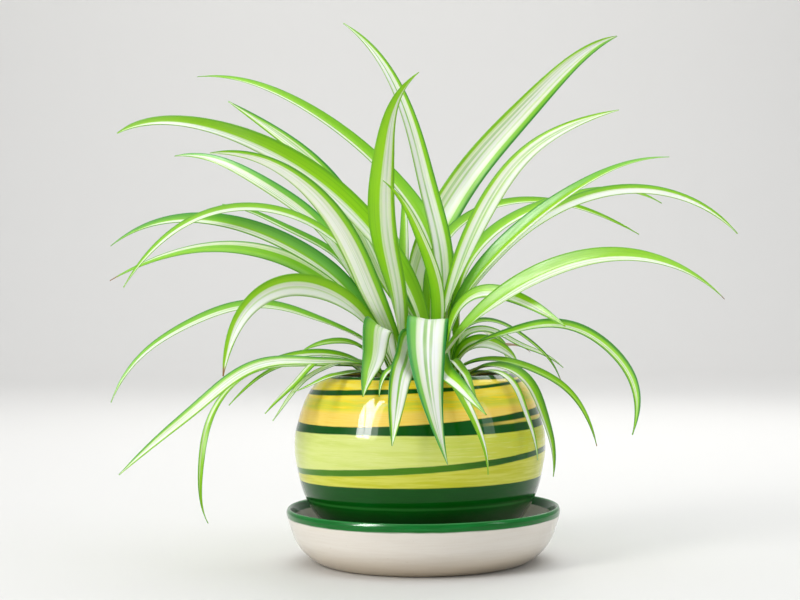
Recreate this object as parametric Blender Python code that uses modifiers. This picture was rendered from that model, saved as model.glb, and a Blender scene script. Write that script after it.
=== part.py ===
"""Potted spider plant: a variegated spider plant in a round glazed pot on a saucer.

Metres, +Z up. The origin is the centre of the saucer's flat underside.
Pot, saucer, soil and crown are turned. Each leaf is a thin channelled blade
that follows its own midrib, so one rule makes them all.
"""

import math

import bmesh
import bpy
import numpy as np

MM = 0.001

# ---- driving dimensions, mm and degrees ----
TURN_STEPS = 40  # facets round a turned piece
POT_OFFSET_X = -1.4  # the pot stands a little off the saucer's centre
LEAF_STATIONS = 12  # cross-sections along a leaf
LEAF_THICKNESS = 0.8
CROWN_CENTRE = (2.0, -3.0)
CROWN_TOP_Z = 95.0  # leaf bases start on a cone that falls away from here
CROWN_SLOPE = 0.25
BASE_WIDTH_SHARE = 0.30  # a leaf's width at its base, as a share of its widest
WIDEST_AT = 0.36  # share of the length where a leaf is widest
TIP_WIDTH = 1.0
CHANNEL_AT = (0.0, 0.15, 0.35, 1.0)  # shares of the length ...
CHANNEL_TILT = (36.0, 36.0, 24.0, 14.0)  # ... and how far each half of the blade tilts up there

# Turned profiles as (radius, height), down the outer side.
SAUCER_PROFILE = (
    (0.0, 6.0), (50.0, 6.0), (57.0, 6.9), (60.8, 8.8), (64.6, 12.4), (68.0, 17.6), (70.3, 23.0), (72.0, 27.4),
    (73.0, 29.2), (74.2, 29.3), (75.0, 27.0), (73.9, 22.3), (72.4, 17.8), (70.3, 12.3), (66.7, 6.9), (62.4, 3.1),
    (58.6, 0.7), (57.0, 0.0), (0.0, 0.0),
)
POT_PROFILE = (
    (0.0, 11.5), (42.0, 11.5), (50.0, 15.0), (55.2, 24.0), (59.6, 36.0), (63.4, 50.0), (64.6, 63.0), (63.6, 76.0),
    (59.6, 87.0), (54.6, 94.0), (50.0, 98.0), (48.2, 100.4), (48.8, 101.9), (50.3, 102.3), (52.0, 101.6),
    (56.6, 98.1), (61.9, 90.4), (64.9, 82.7), (67.1, 75.5), (68.4, 69.5), (68.8, 62.9), (68.4, 57.4),
    (67.1, 49.7), (65.7, 43.6), (64.1, 38.1), (62.6, 35.1), (61.7, 32.6), (58.8, 27.7), (56.1, 23.3),
    (51.5, 14.0), (47.6, 7.4), (46.0, 6.3), (0.0, 6.3),
)
SOIL_PROFILE = (
    (0.0, 88.4), (22.0, 88.2), (40.0, 87.4), (50.0, 86.8), (58.4, 86.4), (59.6, 84.6), (63.0, 75.8), (64.0, 63.0),
    (62.8, 50.2), (59.0, 36.4), (54.6, 24.4), (49.6, 15.6), (41.8, 12.0), (0.0, 12.0),
)
CROWN_PROFILE = ((0.0, 93.6), (10.0, 91.1), (20.6, 89.3), (21.3, 88.75), (0.0, 88.75))

# Leaves: how far out on the crown (mm) and at what bearing (0 = right, 90 = back) each one
# starts, its length and greatest width (mm), its climb at six stations from base to tip,
# its heading at base, middle and tip, and how far the blade is rolled at middle and tip.
LEAVES = {
    "leaf_upper_01": (9.5, 15, 227, 13, (66, 94, 73, 75, 61, 34), (70, 146, 156), (-30, -45)),
    "leaf_upper_02": (5, -155, 183, 17.5, (58, 84, 65, 65, 73, 33), (-180, -100, -22), (-10, -10)),
    "leaf_upper_03": (4, 50, 273, 19.5, (78, 58, 58, 48, 42, 16), (149, 9, 45), (75, 70)),
    "leaf_upper_04": (7, 30, 204, 14, (87, 75, 64, 49, 21, 5), (-24, -32, -45), (85, 50)),
    "leaf_upper_05": (6.5, 95, 275, 10, (64, 74, 54, 40, 25, 0), (23, 169, 148), (-50, -35)),
    "leaf_upper_06": (2.5, -120, 205, 11.5, (104, 54, 65, 54, 38, 32), (125, 170, 169), (-40, -65)),
    "leaf_upper_07": (11, -170, 187, 15, (77, 55, 57, 47, 29, -4), (-128, -132, -189), (25, 50)),
    "leaf_upper_08": (3.5, -95, 276, 16, (100, 64, 46, 24, 2, -23), (-231, -165, -112), (-70, -35)),
    "leaf_upper_09": (12.5, 125, 206, 10, (73, 57, 61, 37, 26, -4), (209, 177, 148), (-40, -60)),
    "leaf_upper_10": (6.5, -75, 129, 8.5, (51, 90, 63, 56, 56, 34), (-32, -113, -149), (15, 20)),
    "leaf_upper_11": (5, 150, 125, 7.5, (61, 83, 76, 61, 57, 44), (154, 90, 95), (-5, 0)),
    "leaf_left_01": (13, -100, 246, 8, (24, 81, 41, 3, -28, -49), (-198, -157, -122), (-45, -20)),
    "leaf_left_02": (8, 160, 163, 7.5, (59, 62, 64, 29, 21, 0), (-191, -173, -121), (-35, -60)),
    "leaf_left_03": (16.5, -150, 207, 12.5, (65, 66, 36, 19, -3, -39), (-201, -154, -175), (-65, -30)),
    "leaf_left_04": (12.5, 160, 200, 12.5, (70, 54, 35, 10, -13, -30), (-191, -172, -165), (-50, -20)),
    "leaf_left_05": (18.5, -130, 182, 12, (71, 58, 21, -10, -37, -70), (-181, -134, -103), (-80, -20)),
    "leaf_left_06": (16, 166, 199, 9, (85, 29, 17, -16, -33, -67), (-163, -160, -143), (-35, -15)),
    "leaf_left_07": (19.2, -158, 178, 11, (63, 7, 1, -36, -37, -42), (-137, -161, -160), (-30, -50)),
    "leaf_left_08": (16, -166, 76, 7.5, (32, 67, 36, 7, -7, -21), (-194, -141, -136), (-30, -30)),
    "leaf_left_09": (19, 150, 103, 7.5, (36, 37, 15, -1, -13, -23), (-135, -150, -147), (-30, -30)),
    "leaf_left_10": (16, 140, 184, 6, (52, 4, -4, -51, -74, -43), (-154, -174, -50), (-20, -20)),
    "leaf_left_11": (18, 105, 119, 5.5, (14, 38, 0, -5, -32, -43), (-157, -173, -141), (-20, -20)),
    "leaf_left_12": (22, -160, 88, 6, (27, 49, 14, -42, -39, -44), (-200, -160, -149), (-20, -30)),
    "leaf_left_13": (19.2, -177, 94, 5.5, (35, 43, -5, -20, -44, -49), (-159, -136, -143), (-10, -15)),
    "leaf_left_14": (20, -140, 77, 5.5, (31, 39, -1, -3, -18, -18), (-183, -124, -155), (-15, -15)),
    "leaf_front_01": (20, -115, 95, 17.5, (73, 57, 62, -62, -41, -69), (-191, -106, -114), (-32, -12)),
    "leaf_front_02": (10.5, -70, 141, 21.5, (55, 84, -34, -52, -59, -62), (-98, -92, -54), (-10, -25)),
    "leaf_front_03": (11.5, -160, 91, 7.5, (50, 79, -18, -17, -16, -85), (-59, -106, -115), (-5, 0)),
    "leaf_front_04": (22, -80, 121, 16.5, (0, 109, -32, -16, -65, -74), (-161, -100, -113), (-50, -5)),
    "leaf_front_05": (20.5, -65, 87, 10.5, (71, 59, -28, -16, -34, -41), (-110, -75, -38), (25, 45)),
    "leaf_front_06": (18, -55, 69, 6, (79, 70, -15, -20, -36, -15), (-67, -72, -79), (5, 5)),
    "leaf_front_07": (22, -35, 104, 6, (42, 26, -18, -45, -66, -90), (-119, -70, -15), (20, 30)),
    "leaf_front_08": (17.5, -10, 92, 6, (48, 22, -9, -61, -68, -86), (-61, -42, -35), (5, 15)),
    "leaf_front_09": (19.2, 34, 112, 8.5, (58, 20, -15, -62, -73, -99), (-50, -35, -36), (20, 10)),
    "leaf_front_10": (12.5, 30, 114, 6.5, (79, 17, -14, -30, -58, -78), (-10, -9, -21), (35, 25)),
    "leaf_right_01": (8, -15, 195, 11.5, (90, 68, 47, 35, 22, -3), (-11, -20, -36), (60, 25)),
    "leaf_right_02": (14.5, 5, 231, 10, (109, 62, 44, 19, -13, -49), (-2, -2, -27), (45, 60)),
    "leaf_right_03": (9, 35, 203, 9.5, (45, 92, 51, 23, 9, -33), (25, 20, -8), (35, 45)),
    "leaf_right_04": (6.5, -45, 231, 7.5, (57, 81, 43, 11, -13, -27), (116, 30, 24), (30, 65)),
    "leaf_right_05": (16.5, -80, 195, 13.5, (78, 47, 30, 11, -16, -47), (-23, -20, -13), (60, 15)),
    "leaf_right_06": (16.5, -25, 170, 9, (97, 25, 11, -31, -46, -53), (-62, -14, -125), (35, -10)),
    "leaf_right_07": (16.5, -45, 118, 11.5, (80, 90, 56, -6, -24, -31), (-6, -24, -43), (45, 60)),
    "leaf_right_08": (12, -25, 111, 5.5, (75, 75, 18, -26, -42, -72), (47, 23, -2), (30, 40)),
    "leaf_right_09": (17, 35, 99, 6, (54, 92, 16, -27, -21, -44), (14, 23, 0), (40, 45)),
    "leaf_right_10": (22, 45, 77, 5.5, (22, 102, 44, -17, -2, -37), (-26, 29, 30), (20, 30)),
    "leaf_right_11": (12.5, 90, 90, 5.5, (31, 64, 14, 5, -5, -26), (-5, 62, 41), (20, 20)),
    "leaf_right_12": (18, 0, 69, 10, (69, 98, 37, -17, -33, -52), (-10, 4, 70), (55, 75)),
    "leaf_back_01": (10.5, 70, 228, 13, (80, 64, 51, 25, -15, -50), (83, 84, 87), (4, 8)),
    "leaf_back_02": (9.5, 120, 213, 12, (79, 65, 42, 4, -36, -56), (111, 105, 112), (-4, -8)),
    "leaf_back_03": (15, 70, 206, 11, (75, 59, 37, -8, -43, -60), (80, 84, 79), (5, 10)),
    "leaf_back_04": (15, 150, 190, 11, (77, 55, 26, -14, -45, -67), (146, 141, 149), (-5, -8)),
    "leaf_back_05": (12, 110, 165, 10, (73, 46, 10, -26, -61, -68), (87, 85, 88), (2, 6)),
    "leaf_back_06": (14, 50, 153, 9, (72, 32, 3, -32, -60, -78), (74, 56, 55), (4, 4)),
    "leaf_back_07": (22, 135, 127, 9, (68, 30, -1, -39, -67, -70), (101, 103, 125), (-2, -6)),
    "leaf_back_08": (16, 83, 120, 8, (66, 35, 1, -23, -58, -70), (49, 42, 47), (3, 6)),
}


# ---- materials: name, base colour, roughness, coat ----
LOOKS = {
    "saucer_glaze": ((0.72, 0.66, 0.58), 0.25, 0.6),
    "pot_glaze": ((0.70, 0.66, 0.16), 0.15, 1.0),
    "potting_soil": ((0.05, 0.032, 0.02), 0.95, 0.0),
    "crown_flesh": ((0.62, 0.68, 0.40), 0.6, 0.0),
    "leaf_cream_green": ((0.45, 0.62, 0.22), 0.4, 0.2),
}


def clear_scene():
    for obj in list(bpy.data.objects):
        bpy.data.objects.remove(obj, do_unlink=True)


def material_for(node, look):
    colour, roughness, coat = LOOKS[look]
    mat = bpy.data.materials.new(node + "_" + look)
    mat.use_nodes = True
    shader = mat.node_tree.nodes["Principled BSDF"]
    shader.inputs["Base Color"].default_value = (*colour, 1.0)
    shader.inputs["Roughness"].default_value = roughness
    shader.inputs["Coat Weight"].default_value = coat
    return mat


def add_object(name, mesh, look, collection):
    for face in mesh.polygons:
        face.use_smooth = True
    obj = bpy.data.objects.new(name, mesh)
    collection.objects.link(obj)
    mesh.materials.append(material_for(name, look))
    return obj


def turned(name, profile, look, collection, centre=(0.0, 0.0)):
    """A piece thrown on the wheel: its profile turned about its own upright axis."""
    closed = profile[0] == profile[-1]
    points = profile[:-1] if closed else profile
    n = len(points)
    edges = [(i, (i + 1) % n) for i in range(n if closed else n - 1)]
    mesh = bpy.data.meshes.new(name)
    mesh.from_pydata([(r * MM, 0.0, z * MM) for r, z in points], edges, [])
    obj = add_object(name, mesh, look, collection)
    obj.location = (centre[0] * MM, centre[1] * MM, 0.0)
    screw = obj.modifiers.new("Turn", "SCREW")
    screw.axis = "Z"
    screw.angle = 2 * math.pi
    screw.steps = TURN_STEPS
    screw.render_steps = TURN_STEPS
    screw.use_merge_vertices = True
    screw.merge_threshold = 0.00001
    screw.use_smooth_shade = True
    return obj


def along(stations, s):
    """A smooth curve through evenly spaced station values, read at shares s of the length."""
    v = np.asarray(stations, float)
    last = len(v) - 1
    t = np.clip(s, 0.0, 1.0) * last
    i = np.minimum(t.astype(int), last - 1)
    f = t - i
    e = np.concatenate([[2 * v[0] - v[1]], v, [2 * v[-1] - v[-2]]])
    a, b, c, d = e[i], e[i + 1], e[i + 2], e[i + 3]
    return b + 0.5 * f * (c - a + f * (2 * a - 5 * b + 4 * c - d + f * (3 * (b - c) + d - a)))


def midrib(leaf, s):
    """Points along the midrib, with the blade's sideways and upward directions there."""
    ring, bearing, length, _, pitches, headings, rolls = leaf
    pitch = np.radians(along(pitches, s))
    heading = np.radians(along(headings, s))
    roll = np.radians(along((0.0, *rolls), s))[:, None]
    run = np.stack([np.cos(pitch) * np.cos(heading), np.cos(pitch) * np.sin(heading), np.sin(pitch)], -1)
    level = np.stack([-np.sin(heading), np.cos(heading), 0 * heading], -1)
    rise = np.cross(run, level)
    side = level * np.cos(roll) + rise * np.sin(roll)
    up = rise * np.cos(roll) - level * np.sin(roll)
    turn = math.radians(bearing)
    start = np.array([
        CROWN_CENTRE[0] + ring * math.cos(turn),
        CROWN_CENTRE[1] + ring * math.sin(turn),
        CROWN_TOP_Z - CROWN_SLOPE * ring,
    ])
    steps = (run[1:] + run[:-1]) / 2 * length / (len(s) - 1)
    return np.concatenate([[start], start + np.cumsum(steps, axis=0)]), side, up


def blade_width(s, widest):
    """Narrow at the base, widest a third of the way out, then a long taper to the tip."""
    out = BASE_WIDTH_SHARE + (1 - BASE_WIDTH_SHARE) * np.sin(np.clip(s / WIDEST_AT, 0, 1) * math.pi / 2) ** 1.2
    taper = np.cos(np.clip((s - WIDEST_AT) / (1 - WIDEST_AT), 0, 1) * math.pi / 2) ** 0.85
    return np.maximum(widest * np.where(s < WIDEST_AT, out, taper), TIP_WIDTH)


def leaf_blade(name, leaf, collection):
    """A blade folded along its midrib into a shallow channel, then thickened."""
    fine = np.linspace(0.0, 1.0, LEAF_STATIONS * 4 + 1)
    centre, side, up = (a[::4] for a in midrib(leaf, fine))
    s = fine[::4]
    half = (blade_width(s, leaf[3]) / 2)[:, None]
    fold = np.radians(np.interp(s, CHANNEL_AT, CHANNEL_TILT))[:, None]
    bm = bmesh.new()
    rows = []
    for offset in (-1, 0, 1):
        edge = centre + offset * side * half * np.cos(fold) + abs(offset) * up * half * np.sin(fold)
        rows.append([bm.verts.new(tuple(p * MM)) for p in edge])
    for left, right in zip(rows, rows[1:]):
        for i in range(LEAF_STATIONS):
            bm.faces.new((left[i], left[i + 1], right[i + 1], right[i]))
    mesh = bpy.data.meshes.new(name)
    bm.to_mesh(mesh)
    bm.free()
    obj = add_object(name, mesh, "leaf_cream_green", collection)
    skin = obj.modifiers.new("Thickness", "SOLIDIFY")
    skin.thickness = LEAF_THICKNESS * MM
    skin.offset = 0.0
    skin.use_even_offset = False
    return obj


def build():
    clear_scene()
    plant = bpy.data.collections.new("potted_spider_plant")
    bpy.context.scene.collection.children.link(plant)
    turned("saucer", SAUCER_PROFILE, "saucer_glaze", plant)
    turned("pot", POT_PROFILE, "pot_glaze", plant, (POT_OFFSET_X, 0.0))
    turned("soil", SOIL_PROFILE, "potting_soil", plant, (POT_OFFSET_X, 0.0))
    turned("crown", CROWN_PROFILE, "crown_flesh", plant, CROWN_CENTRE)
    for name, leaf in LEAVES.items():
        leaf_blade(name, leaf, plant)


build()
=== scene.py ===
"""Looks for the potted spider plant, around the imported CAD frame."""

import math
import random

import bmesh
import bpy
import numpy as np
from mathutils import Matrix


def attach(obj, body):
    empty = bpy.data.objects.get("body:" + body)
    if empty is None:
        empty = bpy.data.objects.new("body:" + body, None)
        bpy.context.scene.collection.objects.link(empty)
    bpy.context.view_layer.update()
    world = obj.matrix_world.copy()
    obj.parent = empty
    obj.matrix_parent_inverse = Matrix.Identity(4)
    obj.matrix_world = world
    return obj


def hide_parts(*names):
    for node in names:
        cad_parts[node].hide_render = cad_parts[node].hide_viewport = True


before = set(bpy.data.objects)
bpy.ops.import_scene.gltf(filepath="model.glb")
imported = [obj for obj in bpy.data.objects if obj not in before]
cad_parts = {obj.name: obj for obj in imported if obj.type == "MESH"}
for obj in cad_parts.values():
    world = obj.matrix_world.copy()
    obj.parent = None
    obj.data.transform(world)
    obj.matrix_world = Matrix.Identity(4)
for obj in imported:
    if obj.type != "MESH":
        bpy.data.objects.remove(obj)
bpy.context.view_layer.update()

MM = 0.001

# ------------------------------------------------------------------ leaf rule
CROWN_CENTRE = (2.0, -3.0)
CROWN_TOP_Z = 95.0
CROWN_SLOPE = 0.25
BASE_WIDTH_SHARE = 0.30
WIDEST_AT = 0.36
TIP_WIDTH = 0.7
CHANNEL_AT = (0.0, 0.15, 0.35, 1.0)
CHANNEL_TILT = (36.0, 36.0, 24.0, 14.0)

# ring, bearing, length, width, climb at six stations, heading at three, roll at two
LEAVES = {
    "leaf_upper_01": (9.5, 15, 227, 13, (66, 94, 73, 75, 61, 34), (70, 146, 156), (-30, -45)),
    "leaf_upper_02": (5, -155, 183, 17.5, (58, 84, 65, 65, 73, 33), (-180, -100, -22), (-10, -10)),
    "leaf_upper_03": (4, 50, 273, 19.5, (78, 58, 58, 48, 42, 16), (149, 9, 45), (75, 70)),
    "leaf_upper_04": (7, 30, 204, 14, (87, 75, 64, 49, 21, 5), (-24, -32, -45), (85, 50)),
    "leaf_upper_05": (6.5, 95, 275, 10, (64, 74, 54, 40, 25, 0), (23, 169, 148), (-50, -35)),
    "leaf_upper_06": (2.5, -120, 205, 11.5, (104, 54, 65, 54, 38, 32), (125, 170, 169), (-40, -65)),
    "leaf_upper_07": (11, -170, 187, 15, (77, 55, 57, 47, 29, -4), (-128, -132, -189), (25, 50)),
    "leaf_upper_08": (3.5, -95, 276, 16, (100, 64, 46, 24, 2, -23), (-231, -165, -112), (-70, -35)),
    "leaf_upper_09": (12.5, 125, 206, 10, (73, 57, 61, 37, 26, -4), (209, 177, 148), (-40, -60)),
    "leaf_upper_10": (6.5, -75, 129, 8.5, (51, 90, 63, 56, 56, 34), (-32, -113, -149), (15, 20)),
    "leaf_upper_11": (5, 150, 125, 7.5, (61, 83, 76, 61, 57, 44), (154, 90, 95), (-5, 0)),
    "leaf_left_01": (13, -100, 246, 8, (24, 81, 41, 3, -28, -49), (-198, -157, -122), (-45, -20)),
    "leaf_left_02": (8, 160, 163, 7.5, (59, 62, 64, 29, 21, 0), (-191, -173, -121), (-35, -60)),
    "leaf_left_03": (16.5, -150, 207, 12.5, (65, 66, 36, 19, -3, -39), (-201, -154, -175), (-65, -30)),
    "leaf_left_04": (12.5, 160, 200, 12.5, (70, 54, 35, 10, -13, -30), (-191, -172, -165), (-50, -20)),
    "leaf_left_05": (18.5, -130, 182, 12, (71, 58, 21, -10, -37, -70), (-181, -134, -103), (-80, -20)),
    "leaf_left_06": (16, 166, 199, 9, (85, 29, 17, -16, -33, -67), (-163, -160, -143), (-35, -15)),
    "leaf_left_07": (19.2, -158, 178, 11, (63, 7, 1, -36, -37, -42), (-137, -161, -160), (-30, -50)),
    "leaf_left_08": (16, -166, 76, 7.5, (32, 67, 36, 7, -7, -21), (-194, -141, -136), (-30, -30)),
    "leaf_left_09": (19, 150, 103, 7.5, (36, 37, 15, -1, -13, -23), (-135, -150, -147), (-30, -30)),
    "leaf_left_10": (16, 140, 184, 6, (52, 4, -4, -51, -74, -43), (-154, -174, -50), (-20, -20)),
    "leaf_left_11": (18, 105, 119, 5.5, (14, 38, 0, -5, -32, -43), (-157, -173, -141), (-20, -20)),
    "leaf_left_12": (22, -160, 88, 6, (27, 49, 14, -42, -39, -44), (-200, -160, -149), (-20, -30)),
    "leaf_left_13": (19.2, -177, 94, 5.5, (35, 43, -5, -20, -44, -49), (-159, -136, -143), (-10, -15)),
    "leaf_left_14": (20, -140, 77, 5.5, (31, 39, -1, -3, -18, -18), (-183, -124, -155), (-15, -15)),
    "leaf_front_01": (20, -115, 95, 17.5, (73, 57, 62, -62, -41, -69), (-191, -106, -114), (-32, -12)),
    "leaf_front_02": (10.5, -70, 141, 21.5, (55, 84, -34, -52, -59, -62), (-98, -92, -54), (-10, -25)),
    "leaf_front_03": (11.5, -160, 91, 7.5, (50, 79, -18, -17, -16, -85), (-59, -106, -115), (-5, 0)),
    "leaf_front_04": (22, -80, 121, 16.5, (0, 109, -32, -16, -65, -74), (-161, -100, -113), (-50, -5)),
    "leaf_front_05": (20.5, -65, 87, 10.5, (71, 59, -28, -16, -34, -41), (-110, -75, -38), (25, 45)),
    "leaf_front_06": (18, -55, 69, 6, (79, 70, -15, -20, -36, -15), (-67, -72, -79), (5, 5)),
    "leaf_front_07": (22, -35, 104, 6, (42, 26, -18, -45, -66, -90), (-119, -70, -15), (20, 30)),
    "leaf_front_08": (17.5, -10, 92, 6, (48, 22, -9, -61, -68, -86), (-61, -42, -35), (5, 15)),
    "leaf_front_09": (19.2, 34, 112, 8.5, (58, 20, -15, -62, -73, -99), (-50, -35, -36), (20, 10)),
    "leaf_front_10": (12.5, 30, 114, 6.5, (79, 17, -14, -30, -58, -78), (-10, -9, -21), (35, 25)),
    "leaf_right_01": (8, -15, 195, 11.5, (90, 68, 47, 35, 22, -3), (-11, -20, -36), (60, 25)),
    "leaf_right_02": (14.5, 5, 231, 10, (109, 62, 44, 19, -13, -49), (-2, -2, -27), (45, 60)),
    "leaf_right_03": (9, 35, 203, 9.5, (45, 92, 51, 23, 9, -33), (25, 20, -8), (35, 45)),
    "leaf_right_04": (6.5, -45, 231, 7.5, (57, 81, 43, 11, -13, -27), (116, 30, 24), (30, 65)),
    "leaf_right_05": (16.5, -80, 195, 13.5, (78, 47, 30, 11, -16, -47), (-23, -20, -13), (60, 15)),
    "leaf_right_06": (16.5, -25, 170, 9, (97, 25, 11, -31, -46, -53), (-62, -14, -125), (35, -10)),
    "leaf_right_07": (16.5, -45, 118, 11.5, (80, 90, 56, -6, -24, -31), (-6, -24, -43), (45, 60)),
    "leaf_right_08": (12, -25, 111, 5.5, (75, 75, 18, -26, -42, -72), (47, 23, -2), (30, 40)),
    "leaf_right_09": (17, 35, 99, 6, (54, 92, 16, -27, -21, -44), (14, 23, 0), (40, 45)),
    "leaf_right_10": (22, 45, 77, 5.5, (22, 102, 44, -17, -2, -37), (-26, 29, 30), (20, 30)),
    "leaf_right_11": (12.5, 90, 90, 5.5, (31, 64, 14, 5, -5, -26), (-5, 62, 41), (20, 20)),
    "leaf_right_12": (18, 0, 69, 10, (69, 98, 37, -17, -33, -52), (-10, 4, 70), (55, 75)),
    "leaf_back_01": (10.5, 70, 228, 13, (80, 64, 51, 25, -15, -50), (83, 84, 87), (4, 8)),
    "leaf_back_02": (9.5, 120, 213, 12, (79, 65, 42, 4, -36, -56), (111, 105, 112), (-4, -8)),
    "leaf_back_03": (15, 70, 206, 11, (75, 59, 37, -8, -43, -60), (80, 84, 79), (5, 10)),
    "leaf_back_04": (15, 150, 190, 11, (77, 55, 26, -14, -45, -67), (146, 141, 149), (-5, -8)),
    "leaf_back_05": (12, 110, 165, 10, (73, 46, 10, -26, -61, -68), (87, 85, 88), (2, 6)),
    "leaf_back_06": (14, 50, 153, 9, (72, 32, 3, -32, -60, -78), (74, 56, 55), (4, 4)),
    "leaf_back_07": (22, 135, 127, 9, (68, 30, -1, -39, -67, -70), (101, 103, 125), (-2, -6)),
    "leaf_back_08": (16, 83, 120, 8, (66, 35, 1, -23, -58, -70), (49, 42, 47), (3, 6)),
}

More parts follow.
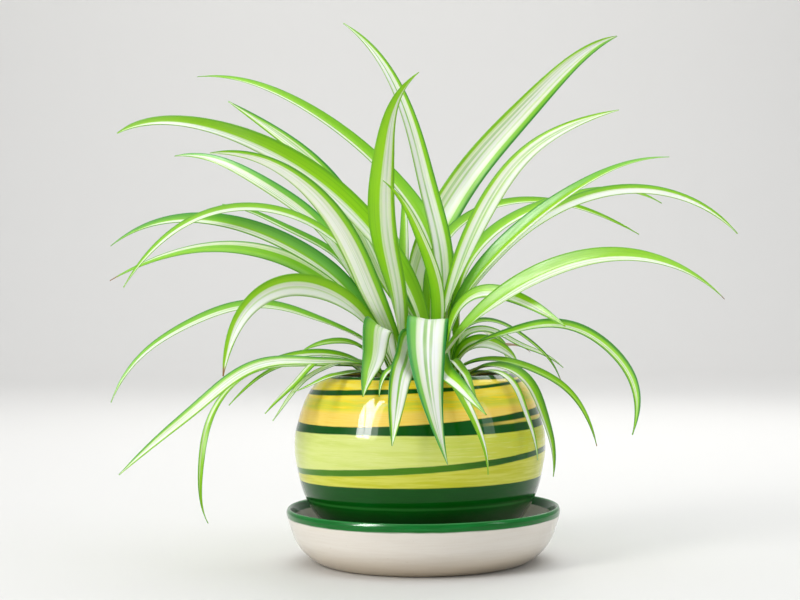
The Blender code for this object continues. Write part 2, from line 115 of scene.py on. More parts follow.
# How each leaf is striped: where the white starts and ends across the blade, how deep the green
# of each margin is, the green line's place and strength, the painted sky sheen on each margin, how
# clear the white is, and how much of the tip has dried.
STRIPES = {
    "leaf_upper_01": (-0.5, 0.95, 0.45, 0.3, 0.14, 0.85, 0.1, 0, 1, 0),
    "leaf_upper_02": (-0.06, 0.72, 0.1, 0.15, 0.36, 0.35, 0, 0, 1, 0),
    "leaf_upper_03": (-0.55, 0.8, 0.45, 0.15, 0.5, 0.55, 0.35, 0, 1, 0),
    "leaf_upper_04": (-0.95, 0.64, 0.1, 0.2, 0.16, 0.6, 0, 0, 1, 0),
    "leaf_upper_05": (0.5, 0.93, 0.35, 0.2, 0, 0, 0.1, 0.1, 1, 0),
    "leaf_upper_06": (-0.52, 0.74, 0.8, 0.15, -0.28, 0.75, 0.3, 0, 1, 0),
    "leaf_upper_07": (-0.9, 0.5, 0.1, 0.45, 0.25, 0.3, 0, 0.1, 1, 0),
    "leaf_upper_08": (0.04, 0.93, 0.3, 0.2, 0.42, 0.4, 0, 0, 1, 0),
    "leaf_upper_09": (-0.3, 0.93, 0.4, 0.2, 0.55, 0.55, 0.55, 0, 1, 0),
    "leaf_upper_10": (0.35, 0.87, 0.4, 0.2, 0.6, 0.2, 0, 0, 0.9, 0),
    "leaf_upper_11": (-0.9, -0.4, 0.3, 0.4, -0.6, 0.2, 0, 0, 0.9, 0),
    "leaf_left_01": (-0.12, 0.93, 0.3, 0.2, 0.25, 0.35, 0.1, 0, 1, 0),
    "leaf_left_02": (0, 0.6, 0.35, 0.2, 0.3, 0.3, 0.45, 0.1, 0.9, 0),
    "leaf_left_03": (0.22, 0.86, 0.65, 0.3, 0.55, 0.45, 0.45, 0.1, 1, 0),
    "leaf_left_04": (-0.88, -0.42, 0.2, 0.35, -0.6, 0.2, 0.3, 0, 0.95, 0.035),
    "leaf_left_05": (-0.3, 0.95, 0.15, 0.2, -0.08, 0.1, 0, 0, 1, 0.035),
    "leaf_left_06": (-0.16, 0.93, 0.45, 0.2, 0.4, 0.4, 0.3, 0, 1, 0),
    "leaf_left_07": (-0.6, 0.67, 0.45, 0.1, -0.25, 0.45, 0.4, 0, 1, 0),
    "leaf_left_08": (-0.15, 0.1, 0.55, 0.4, 0, 0, 0.1, 0, 0.5, 0),
    "leaf_left_09": (-0.14, 0.93, 0.6, 0.3, 0.08, 0.3, 0, 0, 1, 0),
    "leaf_left_10": (-0.55, -0.1, 0.4, 0.3, 0, 0, 0.1, 0, 0.55, 0),
    "leaf_left_11": (-0.1, 0.3, 0.5, 0.4, 0, 0, 0, 0, 0.6, 0),
    "leaf_left_12": (-0.9, -0.33, 0.2, 0.5, -0.58, 0.3, 0, 0, 1, 0),
    "leaf_left_13": (-0.7, 0.65, 0.3, 0.6, -0.25, 0.7, 0, 0.1, 1, 0),
    "leaf_left_14": (0, 0.92, 0.4, 0.3, 0.25, 0.4, 0, 0, 1, 0),
    "leaf_front_01": (-0.15, 0.93, 0.65, 0.2, 0.3, 0.55, 0.2, 0, 1, 0),
    "leaf_front_02": (-0.52, 0.84, 0.45, 0.5, -0.06, 0.75, 0.6, 0.6, 1, 0),
    "leaf_front_03": (0, 0.92, 0.7, 0.3, 0.58, 0.4, 0, 0, 1, 0),
    "leaf_front_04": (-0.6, 0.93, 0.8, 0.3, 0.05, 0.95, 0.1, 0, 1, 0),
    "leaf_front_05": (-0.83, 0, 0.2, 0.7, -0.55, 0.15, 0, 0, 1, 0),
    "leaf_front_06": (-0.92, -0.17, 0.3, 0.45, -0.58, 0.4, 0, 0, 1, 0),
    "leaf_front_07": (0.17, 0.93, 0.15, 0.2, 0.42, 0.1, 0, 0, 1, 0),
    "leaf_front_08": (-0.92, 0.5, 0.3, 0.5, 0.25, 0.2, 0, 0, 1, 0),
    "leaf_front_09": (-0.92, -0.3, 0.2, 0.75, -0.58, 0.15, 0, 0, 1, 0),
    "leaf_front_10": (-0.1, 0.1, 0.75, 0.55, 0, 0, 0, 0, 0.35, 0.02),
    "leaf_right_01": (-0.95, -0.5, 0.1, 0.35, -0.7, 0, 0, 0.35, 1, 0),
    "leaf_right_02": (-0.92, 0.3, 0.1, 0.3, -0.55, 0.2, 0, 0.15, 1, 0),
    "leaf_right_03": (-0.92, -0.35, 0.1, 0.4, -0.6, 0.2, 0, 0.1, 1, 0),
    "leaf_right_04": (-0.92, -0.5, 0.2, 0.45, -0.7, 0, 0, 0, 0.9, 0),
    "leaf_right_05": (-0.93, -0.08, 0.1, 0.05, -0.4, 0.2, 0, 0.1, 1, 0.02),
    "leaf_right_06": (-0.5, 0.17, 0.7, 0.85, -0.2, 0.5, 0, 0.1, 1, 0),
    "leaf_right_07": (-0.67, 0.2, 0.35, 0.3, -0.25, 0.35, 0.1, 0, 1, 0),
    "leaf_right_08": (-0.6, -0.3, 0.9, 0.9, 0, 0, 0, 0, 0.5, 0.03),
    "leaf_right_09": (-0.33, 0.67, 0.6, 0.8, 0.08, 0.5, 0, 0, 1, 0),
    "leaf_right_10": (-0.5, 0.2, 0.6, 0.8, 0, 0.3, 0, 0, 0.5, 0.45),
    "leaf_right_11": (-0.3, 0.3, 0.5, 0.5, 0, 0.3, 0, 0, 0.8, 0.02),
    "leaf_right_12": (-0.92, 0.33, 0.3, 0.5, 0.05, 0.5, 0.1, 0, 1, 0),
    "leaf_back_01": (-0.45, 0.5, 0.4, 0.3, 0.1, 0.5, 0.1, 0, 1, 0),
    "leaf_back_02": (-0.5, 0.4, 0.3, 0.5, -0.1, 0.5, 0.1, 0.1, 1, 0),
    "leaf_back_03": (-0.4, 0.55, 0.5, 0.3, 0.2, 0.4, 0, 0.1, 1, 0),
    "leaf_back_04": (-0.55, 0.35, 0.3, 0.3, -0.2, 0.6, 0.2, 0, 1, 0.02),
    "leaf_back_05": (-0.4, 0.4, 0.5, 0.5, 0, 0.5, 0, 0, 1, 0),
    "leaf_back_06": (-0.5, 0.5, 0.4, 0.2, 0.15, 0.4, 0.1, 0, 1, 0),
    "leaf_back_07": (-0.35, 0.5, 0.3, 0.6, 0.1, 0.5, 0, 0, 1, 0.02),
    "leaf_back_08": (-0.45, 0.4, 0.6, 0.3, -0.1, 0.5, 0, 0.1, 1, 0),
}

# blades that are broader than their solids
BROADER = {"leaf_upper_06": 1.28, "leaf_upper_09": 1.23, "leaf_left_02": 1.12, "leaf_left_01": 1.03, "leaf_left_05": 1.15, "leaf_right_04": 1.03}

# blades that open out flatter than the rest
FLATTER = {"leaf_front_02": 0.35, "leaf_front_01": 0.5, "leaf_front_04": 0.6}


# ------------------------------------------------------------- node helpers
class Sock:
    """A shader socket that does arithmetic by adding Math nodes."""

    def __init__(self, tree, value):
        self.tree, self.value = tree, value

    def op(self, kind, *others, clamp=False):
        node = self.tree.nodes.new("ShaderNodeMath")
        node.operation, node.use_clamp = kind, clamp
        for i, v in enumerate((self, *others)):
            put(self.tree, node.inputs[i], v)
        return Sock(self.tree, node.outputs[0])

    def __add__(self, o):
        return self.op("ADD", o)

    __radd__ = __add__

    def __sub__(self, o):
        return self.op("SUBTRACT", o)

    def __rsub__(self, o):
        return (self * -1.0) + o

    def __mul__(self, o):
        return self.op("MULTIPLY", o)

    __rmul__ = __mul__

    def __truediv__(self, o):
        return self.op("DIVIDE", o)

    def abs(self):
        return self.op("ABSOLUTE")

    def clamp(self):
        return self.op("ADD", 0.0, clamp=True)

    def max(self, o):
        return self.op("MAXIMUM", o)

    def min(self, o):
        return self.op("MINIMUM", o)


def put(tree, socket, value):
    if isinstance(value, Sock):
        tree.links.new(value.value, socket)
    elif isinstance(value, (tuple, list)):
        socket.default_value = (*value, 1.0) if len(value) == 3 and len(socket.default_value) == 4 else value
    elif value is not None:
        socket.default_value = value


def step(tree, value, low, high, to_low=0.0, to_high=1.0, smooth=True):
    node = tree.nodes.new("ShaderNodeMapRange")
    node.interpolation_type = "SMOOTHSTEP" if smooth else "LINEAR"
    for name, v in (("Value", value), ("From Min", low), ("From Max", high), ("To Min", to_low), ("To Max", to_high)):
        put(tree, node.inputs[name], v)
    return Sock(tree, node.outputs["Result"])


def vec(tree, x, y, z):
    node = tree.nodes.new("ShaderNodeCombineXYZ")
    for i, v in enumerate((x, y, z)):
        put(tree, node.inputs[i], v)
    return Sock(tree, node.outputs[0])


def split(tree, v):
    node = tree.nodes.new("ShaderNodeSeparateXYZ")
    tree.links.new(v.value, node.inputs[0])
    return [Sock(tree, s) for s in node.outputs]


def noise(tree, vector, scale=1.0, detail=2.0, rough=0.5, kind="Fac"):
    node = tree.nodes.new("ShaderNodeTexNoise")
    node.inputs["Scale"].default_value = scale
    node.inputs["Detail"].default_value = detail
    node.inputs["Roughness"].default_value = rough
    tree.links.new(vector.value, node.inputs["Vector"])
    return Sock(tree, node.outputs[kind])


def mix(tree, fac, a, b):
    node = tree.nodes.new("ShaderNodeMix")
    node.data_type = "RGBA"
    put(tree, node.inputs["Factor"], fac)
    put(tree, node.inputs[6], a)
    put(tree, node.inputs[7], b)
    return Sock(tree, node.outputs[2])


def srgb(r, g, b):
    return tuple((c / 255 / 12.92) if c / 255 <= 0.04045 else ((c / 255 + 0.055) / 1.055) ** 2.4 for c in (r, g, b))


def new_material(name, **sockets):
    mat = bpy.data.materials.new(name)
    mat.use_nodes = True
    tree = mat.node_tree
    shader = tree.nodes["Principled BSDF"]
    for key, value in sockets.items():
        put(tree, shader.inputs[key.replace("_", " ")], value)
    return mat, tree, shader


def bump(tree, shader, height, strength, distance):
    node = tree.nodes.new("ShaderNodeBump")
    node.inputs["Strength"].default_value = strength
    node.inputs["Distance"].default_value = distance
    tree.links.new(height.value, node.inputs["Height"])
    tree.links.new(node.outputs[0], shader.inputs["Normal"])


def object_place(tree):
    node = tree.nodes.new("ShaderNodeNewGeometry")
    return Sock(tree, node.outputs["Position"])


def uv_place(tree):
    node = tree.nodes.new("ShaderNodeUVMap")
    node.uv_map = "blade"
    return Sock(tree, node.outputs["UV"])


# ------------------------------------------------------------- leaf geometry
def along(stations, s):
    v = np.asarray(stations, float)
    last = len(v) - 1
    t = np.clip(s, 0.0, 1.0) * last
    i = np.minimum(t.astype(int), last - 1)
    f = t - i
    e = np.concatenate([[2 * v[0] - v[1]], v, [2 * v[-1] - v[-2]]])
    a, b, c, d = e[i], e[i + 1], e[i + 2], e[i + 3]
    return b + 0.5 * f * (c - a + f * (2 * a - 5 * b + 4 * c - d + f * (3 * (b - c) + d - a)))


def midrib(leaf, s):
    ring, bearing, length, _, pitches, headings, rolls = leaf
    pitch = np.radians(along(pitches, s))
    heading = np.radians(along(headings, s))
    roll = np.radians(along((0.0, *rolls), s))[:, None]
    run = np.stack([np.cos(pitch) * np.cos(heading), np.cos(pitch) * np.sin(heading), np.sin(pitch)], -1)
    level = np.stack([-np.sin(heading), np.cos(heading), 0 * heading], -1)
    rise = np.cross(run, level)
    side = level * np.cos(roll) + rise * np.sin(roll)
    up = rise * np.cos(roll) - level * np.sin(roll)
    turn = math.radians(bearing)
    start = np.array([
        CROWN_CENTRE[0] + ring * math.cos(turn),
        CROWN_CENTRE[1] + ring * math.sin(turn),
        CROWN_TOP_Z - CROWN_SLOPE * ring,
    ])
    steps = (run[1:] + run[:-1]) / 2 * length / (len(s) - 1)
    return np.concatenate([[start], start + np.cumsum(steps, axis=0)]), side, up


def blade_width(s, widest, sharp=0.76):
    out = BASE_WIDTH_SHARE + (1 - BASE_WIDTH_SHARE) * np.sin(np.clip(s / WIDEST_AT, 0, 1) * math.pi / 2) ** 1.2
    taper = np.cos(np.clip((s - WIDEST_AT) / (1 - WIDEST_AT), 0, 1) * math.pi / 2) ** sharp
    return np.maximum(widest * np.where(s < WIDEST_AT, out, taper), TIP_WIDTH)


ALONG, ACROSS = 60, 12
LEAF_SKIN = 0.36


def leaf_mesh(name, leaf, rng, flat=1.0):
    s = np.linspace(0.0, 1.0, ALONG * 2 + 1)
    centre, side, up = (a[::2] for a in midrib(leaf, s))
    s = s[::2]
    half = blade_width(s, leaf[3]) / 2
    tilt = np.radians(np.interp(s, CHANNEL_AT, CHANNEL_TILT)) * (1 + (flat - 1) * np.clip(s * 4, 0, 1))
    u = np.linspace(-1, 1, ACROSS + 1)
    # a rounded keel, with the margins easing back outwards
    lift = np.sqrt(u * u + 0.03) - math.sqrt(0.03) - 0.10 * np.abs(u) ** 3
    phase = rng.uniform(0, 6.28, 4)
    wave = (0.035 * np.sin(s * leaf[2] / 17 + phase[0]) + 0.03 * np.sin(s * leaf[2] / 41 + phase[1])) * np.clip(s * 5, 0, 1)
    wave2 = (0.035 * np.sin(s * leaf[2] / 19 + phase[2]) + 0.03 * np.sin(s * leaf[2] / 37 + phase[3])) * np.clip(s * 5, 0, 1)
    edge = np.where(u[None] < 0, wave[:, None], wave2[:, None]) * np.abs(u[None]) ** 2
    across = side[:, None] * (u[None] * (half * np.cos(tilt))[:, None])[..., None]
    rise = up[:, None] * ((lift[None] + edge) * (half * np.sin(tilt))[:, None] + edge * half[:, None] * 0.6)[..., None]
    grid = (centre[:, None] + across + rise) * MM
    du, ds = np.gradient(grid, axis=1), np.gradient(grid, axis=0)
    normal = np.cross(ds, du)
    normal /= np.linalg.norm(normal, axis=-1, keepdims=True) + 1e-12
    thick = LEAF_SKIN * MM / 2 * (0.55 + 0.45 * (1 - np.abs(u[None]) ** 3)) * (0.5 + 0.5 * np.clip((1 - s[:, None]) * 12, 0, 1))
    thick = thick + 0.16 * MM * np.exp(-((u[None] / 0.10) ** 2)) * (1 - s[:, None])
    top = grid + normal * (LEAF_SKIN * MM / 4)
    low = grid - normal * thick[..., None]
    rows, cols = ALONG + 1, ACROSS + 1
    bm = bmesh.new()
    layer = bm.loops.layers.uv.new("blade")
    sheets = []
    for sheet in (top, low):
        sheets.append([[bm.verts.new(tuple(sheet[i, j])) for j in range(cols)] for i in range(rows)])
    place = {}
    for k in range(2):
        for i in range(rows):
            for j in range(cols):
                place[sheets[k][i][j]] = ((u[j] + 1) / 2, s[i])

    def face(*verts):
        f = bm.faces.new(verts)
        f.smooth = True
        for loop in f.loops:
            loop[layer].uv = place[loop.vert]

    a, b = sheets
    for i in range(rows - 1):
        for j in range(cols - 1):
            face(a[i][j], a[i + 1][j], a[i + 1][j + 1], a[i][j + 1])
            face(b[i][j], b[i][j + 1], b[i + 1][j + 1], b[i + 1][j])
    for i in range(rows - 1):
        face(a[i][0], b[i][0], b[i + 1][0], a[i + 1][0])
        face(a[i][-1], a[i + 1][-1], b[i + 1][-1], b[i][-1])
    for j in range(cols - 1):
        face(a[0][j], a[0][j + 1], b[0][j + 1], b[0][j])
        face(a[-1][j], b[-1][j], b[-1][j + 1], a[-1][j + 1])
    mesh = bpy.data.meshes.new(name)
    bm.to_mesh(mesh)
    bm.free()
    return mesh


# ------------------------------------------------------------- leaf material
DEEP = srgb(20, 90, 10)
GREEN = srgb(90, 166, 8)
LIME = srgb(154, 212, 22)
WHITE = srgb(246, 249, 240)
PALE = srgb(208, 232, 128)
SKY_SHEEN_TEAL = srgb(88, 182, 112)
BROWN = srgb(140, 98, 52)


def leaf_material(name, stripe, rng):
    """stripe: where the white starts and ends across the blade (-1 to 1), how deep the green of
    each margin is, where the green line in the white lies and how strong it is, how strong the
    painted grey-green sky sheen on each margin is, how white the white is, and how much of the tip has dried."""
    lo, hi, deep_a, deep_b, line_at, line_on, sky_sheen_a, sky_sheen_b, clear, dry = stripe
    mat, tree, shader = new_material(
        name, Roughness=0.36, Subsurface_Weight=0.22, Subsurface_Scale=0.0016,
        Subsurface_Radius=(0.75, 1.0, 0.2),
    )
    shader.inputs["Specular IOR Level"].default_value = 0.32
    uv = split(tree, uv_place(tree))
    seed = float(rng.uniform(0, 50))
    x = uv[0] * 2.0 - 1.0
    v = uv[1]
    # long soft streaks that move the stripe's edges along the blade, and finer ones in the green
    streak = noise(tree, vec(tree, uv[0] * 2.6, v * 2.4, seed), 1.0, 2.0) - 0.5
    fine = noise(tree, vec(tree, uv[0] * 24.0, v * 1.5, seed + 7), 1.0, 3.0, 0.6) - 0.5
    veins = noise(tree, vec(tree, uv[0] * 58.0, v * 2.5, seed + 3), 1.0, 2.0, 0.6)
    side = x + streak * 0.20 + fine * 0.10
    tip = step(tree, v, 0.82, 1.0)
    a = side - lo - tip * 0.35
    b = side * -1.0 + hi - tip * 0.35
    white = step(tree, a, -0.05, 0.06) * step(tree, b, -0.05, 0.06)
    # margins: lime beside the white, then green, deepest along the outer edge
    reach_a, reach_b = max(0.15, (lo + 1) * 0.9), max(0.15, (1 - hi) * 0.9)
    far = step(tree, a * -1.0, 0.02, reach_a) * (0.25 + 0.75 * deep_a) + step(tree, b * -1.0, 0.02, reach_b) * (0.25 + 0.75 * deep_b)
    both = step(tree, x, -0.05, 0.05, deep_a, deep_b)
    margin = mix(tree, far.clamp(), LIME, GREEN)
    margin = mix(tree, (step(tree, far + fine * 0.7, 0.35, 1.05) * both).clamp(), margin, DEEP)
    margin = mix(tree, step(tree, fine, 0.02, 0.22) * 0.55, margin, mix(tree, both, LIME, GREEN))
    margin = mix(tree, step(tree, fine * -1.0, 0.06, 0.24) * 0.5, margin, mix(tree, both, GREEN, DEEP))
    # painted sky sheen: a teal reflection laid over each margin as colour, per leaf and side, stronger along the
    # streaks
    sheen = step(tree, x, -0.1, 0.1, sky_sheen_a, sky_sheen_b)
    margin = mix(tree, sheen * step(tree, streak, -0.3, 0.3, 0.5, 1.0), margin, SKY_SHEEN_TEAL)
    # green lines in the white
    wide = 0.06 + 0.10 * line_on
    strength = step(tree, noise(tree, vec(tree, 1.0, v * 4.0, seed + 11), 1.0, 1.0), 0.3, 0.55, 0.45, 1.0)
    main = step(tree, (side - line_at).abs(), wide * 0.4, wide, 1.0, 0.0) * line_on
    second_at = line_at + (0.3 if line_at < 0.1 else -0.3)
    second_on = line_on * 0.75 if line_on < 0.8 else 0.2
    main = main.max(step(tree, (side - second_at).abs(), wide * 0.3, wide * 0.8, 1.0, 0.0) * second_on)
    ribbon = step(tree, noise(tree, vec(tree, uv[0] * 6.5, v * 0.9, seed + 21), 1.0, 2.0), 0.53, 0.68)
    hair = (step(tree, fine, 0.10, 0.26) * 0.30).clamp()
    body = mix(tree, step(tree, veins, 0.35, 0.8) * 0.16, WHITE, PALE)
    near = step(tree, a.min(b), 0.03, 0.30, 1.0, 0.0)
    body = mix(tree, near * 0.38, body, srgb(200, 230, 116))
    body = mix(tree, ribbon * 0.55, body, srgb(170, 216, 74))
    body = mix(tree, hair, body, srgb(176, 214, 112))
    body = mix(tree, main * strength, body, mix(tree, step(tree, fine, -0.1, 0.15) * 0.6, srgb(136, 198, 44), srgb(86, 160, 30)))
    colour = mix(tree, white * clear, margin, body)
    # paler and softer towards the base
    root = step(tree, v, 0.02, 0.30, 1.0, 0.0)
    colour = mix(tree, root * 0.6, colour, mix(tree, white, srgb(150, 204, 40), srgb(208, 232, 122)))
    colour = mix(tree, step(tree, veins, 0.50, 0.72) * 0.14 * (white * -1.0 + 1.0), colour, DEEP)
    # the outer rim of each margin is the darkest green, turned teal where the painted sky sheen lies
    rim = step(tree, x.abs() + streak * 0.14 + fine * 0.10, 0.74, 0.94) * step(tree, x, -0.05, 0.05, 0.30 + 0.60 * min(1.0, deep_a + sky_sheen_a), 0.30 + 0.60 * min(1.0, deep_b + sky_sheen_b))
    colour = mix(tree, rim, colour, mix(tree, sheen * 1.2, srgb(34, 122, 16), srgb(30, 140, 70)))
    if dry:
        end = step(tree, v + fine * 0.03, 1.0 - dry, 1.0 - dry * 0.4)
        colour = mix(tree, end, colour, BROWN)
    tree.links.new(colour.value, shader.inputs["Base Color"])
    rough = step(tree, noise(tree, vec(tree, uv[0] * 8, v * 14, seed), 1.0, 2.0), 0.3, 0.7, 0.30, 0.44)
    tree.links.new(rough.value, shader.inputs["Roughness"])
    ribs = veins + step(tree, x.abs(), 0.0, 0.09, -0.8, 0.0)
    bump(tree, shader, ribs, 0.35, 0.00012)
    return mat

made = []


def add_piece(name, mesh, material, *nodes, slot=None):
    obj = bpy.data.objects.new(name, mesh)
    bpy.context.scene.collection.objects.link(obj)
    if material:
        mesh.materials.clear()
        mesh.materials.append(material)
    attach(obj, "root")
    if nodes:
        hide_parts(*nodes)
    made.append(obj)
    return obj


for name, leaf in LEAVES.items():
    rng = np.random.default_rng(1000 + sum(ord(c) * (i + 3) for i, c in enumerate(name)))
    broad = (*leaf[:3], leaf[3] * BROADER.get(name, 1.0), *leaf[4:])
    add_piece(name + "_blade", leaf_mesh(name + "_blade", broad, rng, FLATTER.get(name, 1.0)), leaf_material(name + "_variegated", STRIPES[name], rng), name, slot="leaf")


# ------------------------------------------------------------- turned pieces
def smooth_profile(points, sharp=(), steps=5):
    """A Catmull-Rom line through the points, straight at the sharp ones."""
    p = np.asarray(points, float)
    n = len(p)
    out = []
    for i in range(n - 1):
        a = p[i - 1] if i > 0 and i not in sharp else 2 * p[i] - p[i + 1]
        d = p[i + 2] if i + 2 < n and (i + 1) not in sharp else 2 * p[i + 1] - p[i]
        b, c = p[i], p[i + 1]
        for k in range(steps):
            f = k / steps
            out.append(b + 0.5 * f * (c - a + f * (2 * a - 5 * b + 4 * c - d + f * (3 * (b - c) + d - a))))
    out.append(p[-1])
    return np.array(out)


def lathe(name, profile, centre=(0.0, 0.0), turns=176, closed=False, wobble=None):
    prof = np.asarray(profile, float)
    if closed:
        prof = prof[:-1]
    n = len(prof)
    angle = np.arange(turns) * 2 * math.pi / turns
    verts, rings = [], []
    for i, (r, z) in enumerate(prof):
        if r < 1e-6:
            rings.append([len(verts)] * turns)
            verts.append((centre[0] * MM, centre[1] * MM, z * MM))
            continue
        rr = np.full(turns, r) + (wobble(angle, r, z) if wobble else 0.0)
        rings.append(list(range(len(verts), len(verts) + turns)))
        verts += [((centre[0] + q * math.cos(a)) * MM, (centre[1] + q * math.sin(a)) * MM, z * MM) for q, a in zip(rr, angle)]
    faces = []
    for i in range(n if closed else n - 1):
        a, b = rings[i], rings[(i + 1) % n]
        for k in range(turns):
            m = (k + 1) % turns
            quad = [a[k], b[k], b[m], a[m]]
            quad = [v for j, v in enumerate(quad) if v not in quad[:j]]
            if len(quad) > 2:
                faces.append(quad)
    mesh = bpy.data.meshes.new(name)
    mesh.from_pydata(verts, [], faces)
    bm = bmesh.new()
    bm.from_mesh(mesh)
    bmesh.ops.recalc_face_normals(bm, faces=bm.faces)
    for f in bm.faces:
        f.smooth = True
    bm.to_mesh(mesh)
    bm.free()
    return mesh


def turned_place(tree, centre):
    """(across, toward the front, height) on a turned piece: x/r, -y/r and z in mm."""
    x, y, z = split(tree, object_place(tree))
    x, y, z = (x - centre[0] * MM) * 1000.0, (y - centre[1] * MM) * 1000.0, z * 1000.0
    r = (x * x + y * y).op("SQRT").max(1.0)
    return x / r, (y * -1.0) / r, z, r


def line(s, a, b, c=0.0, d=0.0):
    """A brushed line's height as it goes round: a + b s + c s^2 + d s^3."""
    return ((s * d + c) * s + b) * s + a


POT_X = -1.4
DARK = srgb(2, 78, 8)
MID = srgb(70, 128, 10)
YELLOW = srgb(252, 220, 40)
AMBER = srgb(254, 220, 104)
CELERY = srgb(222, 232, 136)
OLIVE = srgb(208, 210, 30)

# ---- pot ----
OUTER = [
    (52.0, 101.6), (54.6, 99.9), (56.6, 98.1), (61.9, 90.4), (64.9, 82.7), (67.1, 75.5), (68.4, 69.5), (68.8, 62.9),
    (68.4, 57.4), (67.1, 49.7), (65.7, 43.6), (64.1, 38.1), (62.9, 35.4), (61.7, 32.6), (58.8, 27.7), (56.1, 23.3),
    (51.5, 14.0), (48.0, 7.8), (46.0, 6.3),
]
LIP = [(54.6, 94.0), (50.0, 98.0), (48.2, 100.4), (48.8, 101.9), (50.3, 102.3), (52.0, 101.6)]
INNER = [
    (7.0, 11.5), (42.0, 11.5), (50.0, 15.0), (55.2, 24.0), (59.6, 36.0), (63.4, 50.0), (64.6, 63.0), (63.6, 76.0),
    (59.6, 87.0), (54.6, 94.0),
]
inner = smooth_profile(INNER, sharp=(1,), steps=3)
lip = smooth_profile(LIP, steps=5)[1:]
outer = smooth_profile(OUTER, sharp=(12,), steps=6)[1:]
foot = np.array([(44.5, 6.3), (7.0, 6.3), (7.0, 11.5)])
pot_line = np.concatenate([inner, lip, outer, foot])


def throwing(angle, r, z):
    """Faint throwing rings and a barely uneven wall, on every ring between 12 and 101 mm high, inside and out."""
    if z > 101.0 or z < 12.0:
        return 0.0
    return 0.05 * np.sin(z / 2.1 + 0.6 * np.sin(angle)) + 0.10 * np.sin(2 * angle + z / 30)


pot_mesh = lathe("pot_glazed", pot_line, (POT_X, 0.0), 200, closed=True, wobble=throwing)

mat, tree, shader = new_material("hand_painted_glaze", Roughness=0.35, Coat_Weight=1.0, Coat_Roughness=0.02, Coat_IOR=1.27)
shader.inputs["Specular IOR Level"].default_value = 0.05
s, c, z, r = turned_place(tree, (POT_X, 0.0))
soft = noise(tree, vec(tree, s * 3.0, c * 3.0, z * 0.9), 1.0, 3.0, 0.6) - 0.5
brush = noise(tree, vec(tree, s * 2.2, c * 2.2, z * 0.55), 1.0, 4.0, 0.65)
fine = noise(tree, vec(tree, s * 5.0, c * 5.0, z * 2.2), 1.0, 3.0, 0.6)
cloud = noise(tree, vec(tree, s * 1.6, c * 1.6, z * 0.05), 1.0, 2.0, 0.5)
ragged = soft * 0.55 + (fine - 0.5) * 0.35


def above(edge, blur=0.28):
    return step(tree, z + ragged - edge, -blur, blur)


def between(low, high, blur=0.28):
    return above(low, blur) * (above(high, blur) * -1.0 + 1.0)


# fields first
celery = mix(tree, step(tree, s + (brush - 0.5) * 1.1, -0.5, 1.0), CELERY, OLIVE)
celery = mix(tree, step(tree, brush, 0.42, 0.68) * 0.55, celery, srgb(204, 220, 96))
celery = mix(tree, step(tree, fine, 0.52, 0.78) * 0.5, celery, srgb(240, 242, 176))
yellow = mix(tree, step(tree, brush, 0.38, 0.66), YELLOW, srgb(246, 226, 92))
yellow = mix(tree, step(tree, fine, 0.5, 0.8) * 0.4, yellow, srgb(252, 236, 140))
streak = between(line(s, 86.4, 1.6), line(s, 91.4, 1.2), 1.6) * step(tree, brush, 0.32, 0.58)
yellow = mix(tree, streak * 0.75, yellow, srgb(206, 212, 50))
amber = mix(tree, step(tree, fine, 0.4, 0.7) * 0.6, AMBER, srgb(250, 206, 70))
upper = mix(tree, above(line(s, 85.4, 1.2), 1.5), amber, yellow)
strip = mix(tree, step(tree, brush, 0.35, 0.65), srgb(222, 222, 92), srgb(204, 206, 48))
colour = mix(tree, above(line(s, 54.2, 4.0, 0.95, 1.5)), strip, celery)
colour = mix(tree, above(line(s, 76.2, 1.6, 0.8, 0.7), 0.6), colour, upper)
# then the painted bands, a little thin where the brush lifted
thin = step(tree, fine, 0.45, 0.8) * 0.22 + step(tree, brush, 0.5, 0.8) * 0.18
dark = mix(tree, thin, DARK, srgb(20, 112, 14))
dark = mix(tree, step(tree, cloud, 0.45, 0.7) * 0.25, dark, srgb(0, 96, 30))
lid = above(line(s, 100.8, -0.4, -0.3))
band1 = between(line(s, 94.6, 2.4, 0.4, 0.6), line(s, 96.9, 1.07, 0.15, 1.56), 0.35) * step(tree, fine, 0.16, 0.34)
band2 = between(line(s, 73.3, -0.65, 0.05, 1.7), line(s, 79.0, 3.85, 1.7, -0.27))
gap = between(line(s, 75.9, 2.6), line(s, 77.1, 2.9, 0.5), 0.4) * step(tree, s, 0.42, 0.75)
band3 = between(line(s, 54.2, 4.0, 0.95, 1.5), line(s, 57.7, 3.9, 0.43, 1.57))
base = above(line(s, 46.55, 0.4, -0.27, 0.3)) * -1.0 + 1.0
colour = mix(tree, band1, colour, dark)
colour = mix(tree, band2 * (gap * -0.85 + 1.0), colour, dark)
colour = mix(tree, band3, colour, mix(tree, thin * 1.5, mix(tree, step(tree, s, 0.0, 0.8), MID, DARK), srgb(100, 152, 30)))
colour = mix(tree, base, colour, dark)
# painted highlight: a paler green line along the ridge, on the dark base
ridge_highlight = between(34.6, 35.9, 0.5)
colour = mix(tree, ridge_highlight * 0.45 * base, colour, srgb(60, 136, 60))
foot_shade = step(tree, z, 22.0, 34.0, 1.0, 0.0)
colour = mix(tree, foot_shade * 0.5, colour, srgb(4, 52, 16))
colour = mix(tree, lid, colour, dark)
inside = step(tree, r, 51.5, 52.5, 1.0, 0.0) * step(tree, z, 100.2, 100.9, 1.0, 0.0)
colour = mix(tree, inside, colour, srgb(150, 128, 88))
tree.links.new(colour.value, shader.inputs["Base Color"])
relief = fine * 0.4 + (band1 + band2 + band3 + base) * 0.5 + brush * 0.5
bump(tree, shader, relief, 0.25, 0.00018)
add_piece("pot_glazed", pot_mesh, mat, "pot", slot="pot")

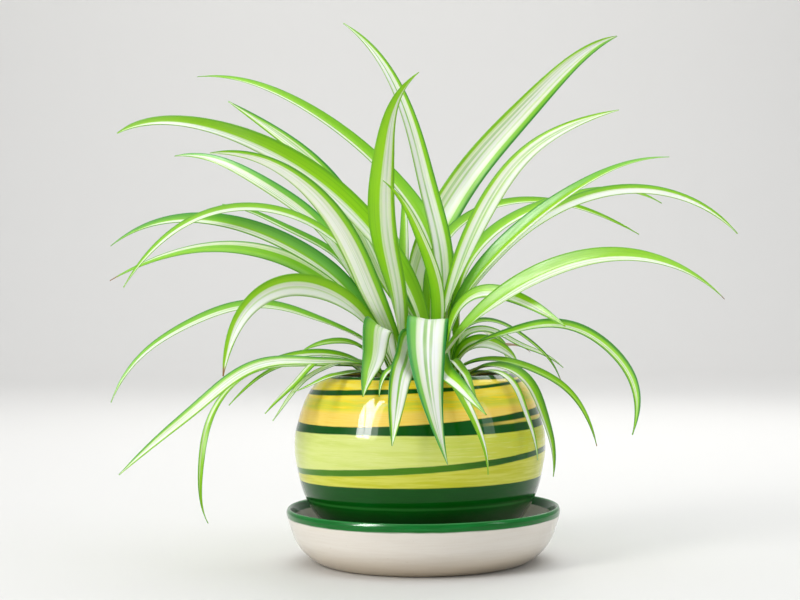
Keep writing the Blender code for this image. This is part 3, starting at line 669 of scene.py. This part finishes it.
# ---- saucer ----
TOP = [
    (0.0, 6.0), (50.0, 6.0), (57.0, 6.9), (60.8, 8.8), (64.6, 12.4), (68.0, 17.6), (70.3, 23.0), (72.0, 27.4),
    (72.9, 29.1), (73.6, 29.6), (74.4, 29.1), (75.0, 27.0), (73.9, 22.3), (72.4, 17.8), (70.3, 12.3), (66.7, 6.9),
    (62.4, 3.1), (58.6, 0.7), (57.0, 0.0),
]
saucer_line = np.concatenate([smooth_profile(TOP, sharp=(1, 18), steps=6), [(0.0, 0.0)]])
saucer_mesh = lathe("saucer_glazed", saucer_line, (0.0, 0.0), 200,
                    wobble=lambda a, r, z: (0.06 * np.sin(3 * a + 1.0) if z > 2 else 0.0))
mat, tree, shader = new_material("saucer_glaze_cream", Roughness=0.30, Coat_Weight=0.8, Coat_Roughness=0.06, Coat_IOR=1.32)
shader.inputs["Specular IOR Level"].default_value = 0.1
s, c, z, r = turned_place(tree, (0.0, 0.0))
speck = noise(tree, vec(tree, s * 40.0, c * 40.0, z * 0.6), 1.0, 2.0, 0.6)
brush = noise(tree, vec(tree, s * 3.0, c * 3.0, z * 0.8), 1.0, 3.0, 0.6)
cream = mix(tree, step(tree, brush, 0.35, 0.7) * 0.5, srgb(238, 231, 221), srgb(231, 222, 210))
cream = mix(tree, step(tree, speck, 0.70, 0.78) * 0.35, cream, srgb(168, 150, 120))
# painted shade: the cream is darkened towards the bottom of the saucer, below 17 mm
cream = mix(tree, step(tree, z, 0.0, 17.0, 1.0, 0.0) * 0.8, cream, srgb(184, 166, 138))
wall = (brush - 0.5) * 1.1 + z
green = step(tree, wall, 24.6, 25.4)
lip_green = mix(tree, step(tree, brush, 0.4, 0.7) * 0.6, srgb(0, 104, 30), srgb(8, 134, 52))
# painted highlight: a paler green along the top of the lip
lip_green = mix(tree, step(tree, z, 28.6, 29.5) * 0.35, lip_green, srgb(70, 160, 90))
colour = mix(tree, green, cream, lip_green)
tree.links.new(colour.value, shader.inputs["Base Color"])
bump(tree, shader, brush * 0.6 + speck * 0.3, 0.18, 0.0002)
add_piece("saucer_glazed", saucer_mesh, mat, "saucer", slot="saucer")

# ---- soil: a crumbly surface, with bits of bark and perlite on it ----
rng = np.random.default_rng(7)
soil_line = [(0.0, 87.6)] + [(q, 87.6 - 0.02 * q) for q in np.linspace(1.5, 57.5, 36)] + [(58.2, 85.0), (61.0, 78.0), (0.0, 78.0)]
soil_mesh = lathe("soil_surface", soil_line, (POT_X, 0.0), 140)
for v in soil_mesh.vertices:
    x, y, h = v.co
    if h > 0.084:
        rr = math.hypot(x - POT_X * MM, y)
        lump = 0.35 * math.sin(x * 900 + 2 * math.sin(y * 700)) + 0.3 * math.sin(y * 1300 + x * 500) + rng.uniform(-0.35, 0.35)
        v.co.z = h + (lump - 0.35) * MM * (1.0 if rr < 0.055 else 0.3)
mat, tree, shader = new_material("bark_and_peat", Roughness=0.95)
place = object_place(tree)
big = noise(tree, place, 260.0, 4.0, 0.6)
small = noise(tree, place, 1400.0, 3.0, 0.6)
colour = mix(tree, step(tree, big, 0.4, 0.65), srgb(36, 24, 16), srgb(84, 60, 40))
colour = mix(tree, step(tree, small, 0.55, 0.75) * 0.6, colour, srgb(126, 98, 70))
tree.links.new(colour.value, shader.inputs["Base Color"])
bump(tree, shader, big + small * 0.5, 0.9, 0.0012)
add_piece("soil_surface", soil_mesh, mat, "soil", slot="soil")

bm = bmesh.new()
for k in range(230):
    ang, rad = rng.uniform(0, 2 * math.pi), 22 + 34 * math.sqrt(rng.uniform(0.0, 1.0))
    size = rng.uniform(0.5, 1.7)
    made_bits = bmesh.ops.create_icosphere(bm, subdivisions=1, radius=size * MM)["verts"]
    stretch = rng.uniform(0.5, 1.3, 3)
    spin = rng.uniform(0, math.pi)
    for v in made_bits:
        q = np.array(v.co) * stretch * rng.uniform(0.82, 1.15)
        q = np.array([q[0] * math.cos(spin) - q[1] * math.sin(spin), q[0] * math.sin(spin) + q[1] * math.cos(spin), q[2] * 0.6])
        v.co = q + np.array([POT_X + rad * math.cos(ang), rad * math.sin(ang), 86.9]) * MM
bits = bpy.data.meshes.new("soil_bits")
bm.to_mesh(bits)
bm.free()
mat, tree, shader = new_material("bark_chips", Roughness=0.9)
place = object_place(tree)
patch = noise(tree, place, 420.0, 2.0, 0.5)
colour = mix(tree, step(tree, patch, 0.4, 0.6), srgb(70, 46, 30), srgb(150, 120, 88))
colour = mix(tree, step(tree, patch, 0.66, 0.72), colour, srgb(214, 208, 196))
tree.links.new(colour.value, shader.inputs["Base Color"])
bump(tree, shader, noise(tree, place, 1800.0, 2.0, 0.6), 0.6, 0.0005)
add_piece("soil_bits", bits, mat, slot="soil")

# ---- crown: overlapping sheaths round a low stump ----
crown_line = smooth_profile([(0.0, 93.4), (6.0, 92.2), (12.0, 90.7), (18.0, 89.6), (20.4, 88.9), (20.6, 88.2), (18.0, 87.2), (0.0, 86.8)], steps=4)
crown_mesh = lathe("crown_sheaths", crown_line, CROWN_CENTRE, 120,
                   wobble=lambda a, r, z: 0.035 * r * np.sin(15 * a + r * 0.35) * (1 if z > 88 else 0.3))
mat, tree, shader = new_material("crown_sheath", Roughness=0.6, Subsurface_Weight=0.15, Subsurface_Scale=0.002)
s, c, z, r = turned_place(tree, CROWN_CENTRE)
fib = noise(tree, vec(tree, s * 24.0, c * 24.0, r * 0.12), 1.0, 3.0, 0.6)
colour = mix(tree, step(tree, fib, 0.4, 0.65), srgb(206, 214, 150), srgb(142, 168, 84))
colour = mix(tree, step(tree, z + fib * 2.0, 88.6, 91.2, 1.0, 0.0) * 0.8, colour, srgb(140, 108, 70))
tree.links.new(colour.value, shader.inputs["Base Color"])
bump(tree, shader, fib, 0.7, 0.0006)
add_piece("crown_sheaths", crown_mesh, mat, "crown", slot="crown")

# ------------------------------------------------------------- stage
bm = bmesh.new()
section = [(-3.2, 0.0), (2.0, 0.0)]
for k in range(1, 13):
    a = k / 12 * math.pi / 2
    section.append((2.0 + 0.8 * math.sin(a), 0.8 - 0.8 * math.cos(a)))
section.append((2.8, 3.6))
rows = [[bm.verts.new((x, y, h - 0.0002)) for y, h in section] for x in (-4.5, 4.5)]
for i in range(len(section) - 1):
    f = bm.faces.new((rows[0][i], rows[1][i], rows[1][i + 1], rows[0][i + 1]))
    f.smooth = True
floor_mesh = bpy.data.meshes.new("studio_floor")
bm.to_mesh(floor_mesh)
bm.free()
floor = bpy.data.objects.new("studio_floor", floor_mesh)
bpy.context.scene.collection.objects.link(floor)
mat, tree, shader = new_material("pale_floor", Base_Color=(0.70, 0.69, 0.67), Roughness=0.7)
floor_mesh.materials.append(mat)

world = bpy.data.worlds.new("soft_studio")
bpy.context.scene.world = world
world.use_nodes = True
world.node_tree.nodes["Background"].inputs["Color"].default_value = (0.93, 0.96, 1.0, 1.0)
world.node_tree.nodes["Background"].inputs["Strength"].default_value = 0.42
bpy.context.scene.view_settings.view_transform = "Standard"
bpy.context.scene.view_settings.look = "None"


def area(name, at, to, size, power, colour):
    data = bpy.data.lights.new(name, "AREA")
    data.shape = "RECTANGLE"
    data.size, data.size_y = size
    data.energy = power
    data.color = colour
    obj = bpy.data.objects.new(name, data)
    bpy.context.scene.collection.objects.link(obj)
    obj.location = at
    obj.visible_camera = False
    import mathutils
    obj.rotation_euler = (mathutils.Vector(to) - mathutils.Vector(at)).to_track_quat("-Z", "Y").to_euler()
    return obj


area("window_left", (-1.15, -0.95, 0.95), (0.0, 0.0, 0.12), (0.55, 0.95), 14.0, (1.0, 0.99, 0.97))
area("window_right", (1.3, -0.55, 0.75), (0.0, 0.0, 0.12), (0.3, 0.7), 2.6, (0.90, 0.95, 1.0))
glint = area("window_glint", (-1.16, -0.82, 1.02), (0.0, 0.0, 0.08), (0.42, 1.0), 46.0, (1.0, 1.0, 1.0))
glint.visible_diffuse = False
glint.visible_transmission = False
area("sky_top", (0.1, 0.1, 1.5), (0.0, 0.0, 0.1), (1.6, 1.4), 13.0, (0.96, 0.98, 1.0))
area("back_glow", (0.3, 1.0, 0.9), (0.0, 0.0, 0.2), (1.2, 0.7), 5.0, (1.0, 1.0, 0.97))
wash = area("backdrop_wash", (0.0, 1.3, 1.9), (0.0, 2.9, 0.45), (3.0, 0.6), 28.0, (1.0, 1.0, 1.0))
wash.visible_glossy = False

# ------------------------------------------------------------- camera
camera_data = bpy.data.cameras.new("camera")
camera_data.lens = 72.0
camera_data.sensor_width = 36.0
camera_data.clip_start = 0.01
camera = bpy.data.objects.new("camera", camera_data)
bpy.context.scene.collection.objects.link(camera)
roll = math.radians(0.59)
import mathutils

camera.matrix_world = mathutils.Matrix((
    (math.cos(roll), math.sin(roll), 0.0, -0.0115),
    (0.0, 0.0, -1.0, -0.880),
    (-math.sin(roll), math.cos(roll), 0.0, 0.1426),
    (0.0, 0.0, 0.0, 1.0),
))
bpy.context.scene.camera = camera

bpy.context.view_layer.update()
